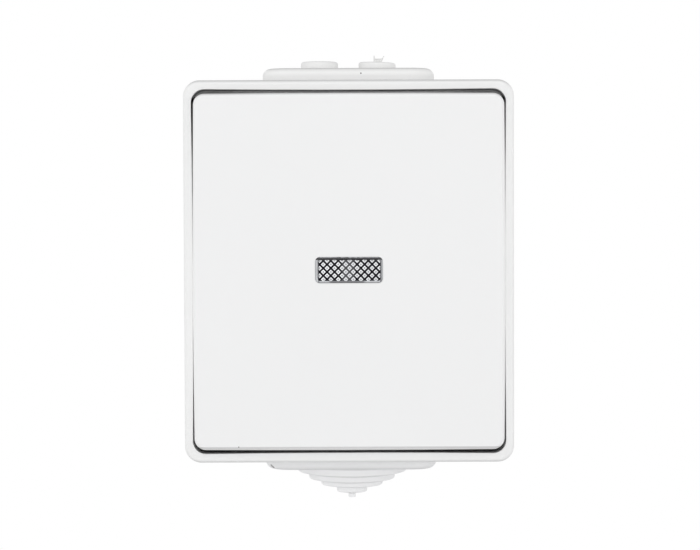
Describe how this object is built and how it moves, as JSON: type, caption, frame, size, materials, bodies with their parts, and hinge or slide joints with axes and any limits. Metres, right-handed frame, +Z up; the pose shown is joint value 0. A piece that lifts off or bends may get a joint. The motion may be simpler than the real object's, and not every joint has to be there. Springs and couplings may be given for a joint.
{
  "type": "outdoor weatherproof switch",
  "caption": "Surface-mounted weatherproof rocker switch with a lit lens: rocker and frame over a wall box, with rubber cable entries above and below.",
  "frame": {"origin": "centre of the back face, on the wall", "axes": "+X right, +Z up, +Y into the wall; the front faces -Y"},
  "size_m": [0.066, 0.05, 0.0933],
  "materials": {
    "white_housing": "fine satin moulded",
    "white_rocker": "smooth satin moulded",
    "white_rubber": "soft matt off-white",
    "black_rubber": "matt black",
    "grey_foam": "closed-cell foam",
    "clear_lens": "clear, diamond knurled",
    "natural_plastic": "natural nylon",
    "grey_plastic": "grey thermoset",
    "brass": "stamped and machined",
    "zinc_steel": "bright zinc plate",
    "spring_steel": "drawn wire",
    "lamp_glass": "clear neon capsule",
    "resistor_body": "lacquered",
    "tinned_wire": "tinned"
  },
  "bodies": {
    "housing": {"back_box": "white_housing", "cover_frame": "white_housing", "box_seal": "grey_foam", "sealing_membrane": "black_rubber", "top_grommet": "white_rubber", "bottom_grommet": "white_rubber", "mechanism_base": "grey_plastic", "mechanism_cover": "natural_plastic", "upper_spring": "spring_steel", "lower_spring": "spring_steel", "common_terminal": "brass", "upper_terminal": "brass", "lower_terminal": "brass", "neutral_terminal": "brass", "terminal_screws": "zinc_steel", "mechanism_screws": "zinc_steel", "cover_screws": "zinc_steel", "neon_lamp": "lamp_glass", "lamp_holder": "natural_plastic", "lamp_resistor": "resistor_body", "lamp_leads": "tinned_wire"},
    "rocker": {"rocker": "white_rocker", "lens": "clear_lens", "drive_yoke": "natural_plastic"},
    "upper_plunger": {"upper_plunger": "natural_plastic", "upper_bridge": "brass"},
    "lower_plunger": {"lower_plunger": "natural_plastic", "lower_bridge": "brass"}
  },
  "joints": [
    {"name": "rocker_hinge", "type": "hinge", "parent": "housing", "child": "rocker", "pos_m": [0, -0.0425, 0], "axis": [1, 0, 0], "range_deg": [-4, 4], "stiffness_Nm_per_rad": 1.4},
    {"name": "upper_plunger_slide", "type": "slide", "parent": "housing", "child": "upper_plunger", "axis": [0, -1, 0], "range_m": [-0.0007, 0.0007], "deforming": ["upper_spring"]},
    {"name": "lower_plunger_slide", "type": "slide", "parent": "housing", "child": "lower_plunger", "axis": [0, -1, 0], "range_m": [-0.0007, 0.0007], "deforming": ["lower_spring"]}
  ],
  "couplings": [
    {"joint": "upper_plunger_slide", "follows": "rocker_hinge", "m_per_rad": 0.01},
    {"joint": "lower_plunger_slide", "follows": "rocker_hinge", "m_per_rad": -0.01}
  ]
}
